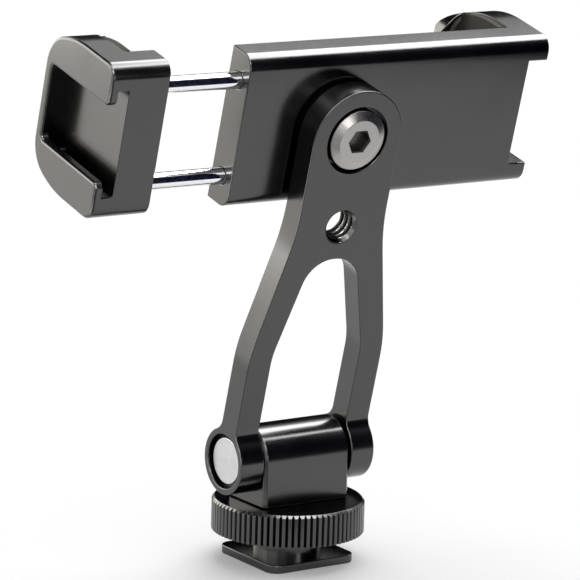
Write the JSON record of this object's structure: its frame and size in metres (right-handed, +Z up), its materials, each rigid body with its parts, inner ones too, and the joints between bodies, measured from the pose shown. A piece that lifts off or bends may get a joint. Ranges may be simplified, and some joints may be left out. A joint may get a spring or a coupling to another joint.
{
  "type": "tripod phone mount adapter",
  "caption": "Phone clamp with a sliding jaw on a tilting forked arm, over a square shoe foot with a knurled locking wheel and a threaded socket underneath.",
  "frame": {"origin": "centre of the shoe foot's underside, on the axis of the tripod socket", "axes": "+Z up, +X along the clamp towards its fixed jaw, +Y towards the side that holds the phone"},
  "size_m": [0.0917, 0.0344, 0.0978],
  "materials": {
    "anodised_metal": "fine-blasted, graphite anodised",
    "rod_chrome": "polished",
    "screw_steel": "turned, nickel plated",
    "spring_steel": "rolled",
    "jaw_rubber": "moulded, dark olive",
    "pad_rubber": "moulded, fine grain",
    "washer_plastic": "plain"
  },
  "bodies": {
    "base": {"foot": "anodised_metal", "base_block": "anodised_metal"},
    "wheel": {"knurled_wheel": "anodised_metal"},
    "arm": {"arm": "anodised_metal", "hinge_pin": "screw_steel", "hinge_screw": "screw_steel", "hinge_washer_left": "washer_plastic", "hinge_washer_right": "washer_plastic"},
    "clamp": {"clamp_body": "anodised_metal", "pivot_screw": "screw_steel", "spring_washer": "spring_steel", "friction_disc": "washer_plastic", "front_pad": "pad_rubber", "fixed_jaw_pad": "jaw_rubber", "bore_plug_upper": "anodised_metal", "bore_plug_lower": "anodised_metal"},
    "jaw": {"sliding_jaw": "anodised_metal", "sliding_jaw_pad": "jaw_rubber", "guide_rod_upper": "rod_chrome", "guide_rod_lower": "rod_chrome", "rod_stop_upper": "spring_steel", "rod_stop_lower": "spring_steel"}
  },
  "joints": [
    {"name": "wheel_turn", "type": "hinge", "parent": "base", "child": "wheel", "pos_m": [0, 0, 0.0083], "axis": [0, 0, 1], "continuous": true},
    {"name": "arm_tilt", "type": "hinge", "parent": "base", "child": "arm", "pos_m": [0, 0, 0.01955], "axis": [1, 0, 0], "range_deg": [-89.7, 75.3]},
    {"name": "clamp_turn", "type": "hinge", "parent": "arm", "child": "clamp", "pos_m": [0, -0.01586, 0.08], "axis": [0, 0.9673, 0.2538], "continuous": true},
    {"name": "jaw_slide", "type": "slide", "parent": "clamp", "child": "jaw", "axis": [1, 0, 0], "range_m": [0, 0.0157]}
  ]
}
